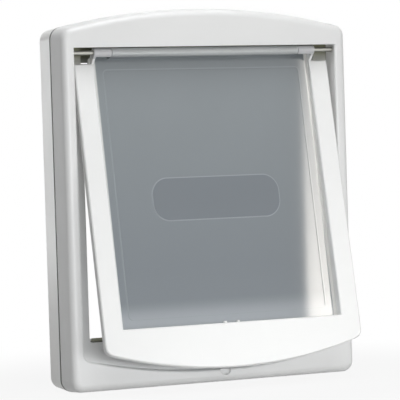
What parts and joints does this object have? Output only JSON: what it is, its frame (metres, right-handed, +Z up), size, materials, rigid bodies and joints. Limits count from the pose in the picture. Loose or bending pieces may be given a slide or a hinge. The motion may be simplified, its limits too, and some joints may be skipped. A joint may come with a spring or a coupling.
{
  "type": "cat flap",
  "caption": "Two-way pet door with an arched hollow frame each side of the door, a top-hinged U-shaped surround and a translucent swinging panel.",
  "frame": {"origin": "centre of the tunnel, on the plane where the front frame's rim meets the door", "axes": "+X across the door to the right seen from the front, +Y through the door away from the front face, +Z up"},
  "size_m": [0.294, 0.1076, 0.352],
  "materials": {
    "white_plastic": "satin moulded white",
    "flap_white": "satin moulded, a brighter white",
    "smoky_panel": "frosted smoky translucent",
    "rod_steel": "drawn wire",
    "bush_plastic": "natural bearing plastic",
    "ferrite": "pressed ferrite",
    "keeper_steel": "zinc plated sheet",
    "brush_carrier": "extruded strip",
    "brush_pile": "dense pile",
    "screw_steel": "zinc plated"
  },
  "bodies": {
    "frame": {"front_frame": "white_plastic", "rear_frame": "white_plastic", "rod_bush_left": "bush_plastic", "rod_bush_right": "bush_plastic", "keeper_plate": "keeper_steel", "sill_brush_carrier": "brush_carrier", "sill_brush_pile": "brush_pile", "clamp_screws": "screw_steel", "screw_cap_1": "white_plastic", "screw_cap_2": "white_plastic", "screw_cap_3": "white_plastic", "screw_cap_4": "white_plastic"},
    "surround": {"flap_surround": "flap_white", "hinge_rod": "rod_steel", "surround_magnet": "ferrite", "magnet_cover": "white_plastic"},
    "panel": {"flap_panel": "smoky_panel"}
  },
  "joints": [
    {"name": "surround_swing", "type": "hinge", "parent": "frame", "child": "surround", "pos_m": [0, -0.0195, 0.1259], "axis": [-1, 0, 0], "range_deg": [-11.9, 75]},
    {"name": "panel_swing", "type": "hinge", "parent": "surround", "child": "panel", "pos_m": [0, -0.0195, 0.1259], "axis": [1, 0, 0], "range_deg": [0, 62]}
  ]
}
